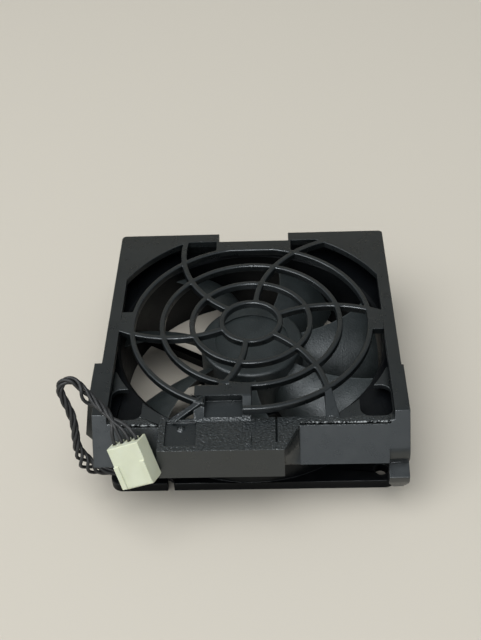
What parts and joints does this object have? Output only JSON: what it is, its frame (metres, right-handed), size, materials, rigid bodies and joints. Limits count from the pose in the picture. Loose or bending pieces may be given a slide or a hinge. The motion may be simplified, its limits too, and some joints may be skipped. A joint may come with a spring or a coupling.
{
  "type": "computer case fan in a snap-in holder",
  "caption": "Square axial computer fan carried in a moulded snap-in holder with a curved web guard, side guide rib, snap tongue and a twisted lead with a keyed connector.",
  "frame": {"origin": "on the fan's axis, in the plane of the fan frame's foot face, at the centre of its screw holes", "axes": "+Z along the fan's axis from the foot face to the guard, +Y to the holder's back, +X to the right seen from the sloped front wall"},
  "size_m": [0.1076, 0.111, 0.0454],
  "materials": {
    "holder_plastic": "moulded, fine satin grain",
    "frame_plastic": "moulded satin",
    "impeller_plastic": "moulded satin",
    "bearing_steel": "ground",
    "spring_steel": "drawn wire",
    "yoke_steel": "plated, drawn cup",
    "tube_brass": "turned",
    "magnet_ferrite": "bonded ferrite, matte",
    "core_steel": "stacked laminations",
    "insulator_nylon": "moulded natural nylon",
    "winding_copper": "enamelled copper wire",
    "board_laminate": "solder mask",
    "component_body": "moulded epoxy",
    "wire_insulation": "extruded sleeve",
    "connector_nylon": "moulded natural nylon",
    "terminal_tin": "tin-plated contact"
  },
  "bodies": {
    "housing": {"fan_holder": "holder_plastic", "fan_frame": "frame_plastic", "bearing_tube": "tube_brass", "upper_bearing_outer_race": "bearing_steel", "lower_bearing_outer_race": "bearing_steel", "stator_core": "core_steel", "stator_lower_insulator": "insulator_nylon", "stator_upper_insulator": "insulator_nylon", "coil_windings": "winding_copper", "winding_pins": "terminal_tin", "circuit_board": "board_laminate", "driver_chip": "component_body", "board_components": "component_body", "motor_leads": "wire_insulation", "lead_bundle": "wire_insulation", "connector_housing": "connector_nylon", "crimp_terminals": "terminal_tin"},
    "rotor": {"impeller": "impeller_plastic", "rotor_yoke": "yoke_steel", "ring_magnet": "magnet_ferrite", "shaft": "bearing_steel", "shaft_bush": "tube_brass", "upper_bearing_inner_race": "bearing_steel", "lower_bearing_inner_race": "bearing_steel", "preload_spring": "spring_steel", "retaining_clip": "spring_steel"},
    "bearing_balls": {"upper_bearing_balls": "bearing_steel", "lower_bearing_balls": "bearing_steel"}
  },
  "joints": [
    {"name": "rotor_spin", "type": "hinge", "parent": "housing", "child": "rotor", "pos_m": [0, 0, 0.012], "axis": [0, 0, 1], "continuous": true},
    {"name": "ball_orbit", "type": "hinge", "parent": "housing", "child": "bearing_balls", "pos_m": [0, 0, 0.009], "axis": [0, 0, 1], "continuous": true}
  ],
  "couplings": [
    {"joint": "ball_orbit", "follows": "rotor_spin", "ratio": 0.3692}
  ]
}
